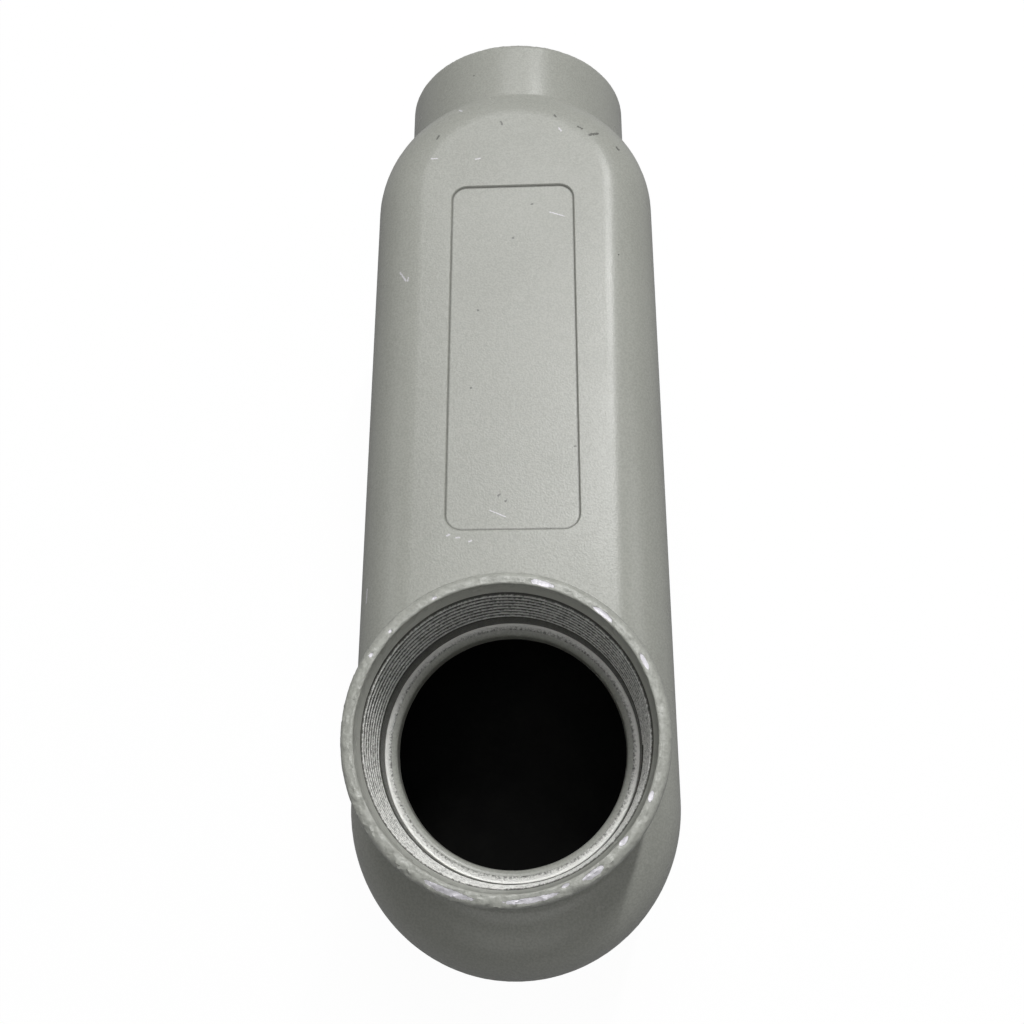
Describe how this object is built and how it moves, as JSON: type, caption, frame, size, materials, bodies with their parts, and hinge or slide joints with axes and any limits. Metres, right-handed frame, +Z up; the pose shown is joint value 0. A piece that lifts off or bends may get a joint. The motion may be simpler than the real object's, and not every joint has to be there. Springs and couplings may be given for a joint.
{
  "type": "conduit body",
  "caption": "Elbow conduit body with a threaded hub on its back and one at its end, closed in front by a rubber sheet and a screwed cover.",
  "frame": {"origin": "middle of the outer box, at the level of the cover's raised field, on which the fitting stands", "axes": "+Z up along the branch hub's axis, out of its mouth; +Y along the end hub's axis, out of its mouth; +X across"},
  "size_m": [0.0768, 0.2454, 0.1065],
  "materials": {
    "casting_paint": "satin grey enamel on die-cast aluminium",
    "gasket_rubber": "matte black neoprene sheet",
    "cover_paint": "satin grey enamel on cast aluminium",
    "screw_zinc": "bright zinc plate"
  },
  "bodies": {
    "root": {"body_casting": "casting_paint", "gasket": "gasket_rubber", "cover": "cover_paint", "cover_screw_near_left": "screw_zinc", "cover_screw_near_right": "screw_zinc", "cover_screw_far_left": "screw_zinc", "cover_screw_far_right": "screw_zinc"}
  },
  "joints": []
}
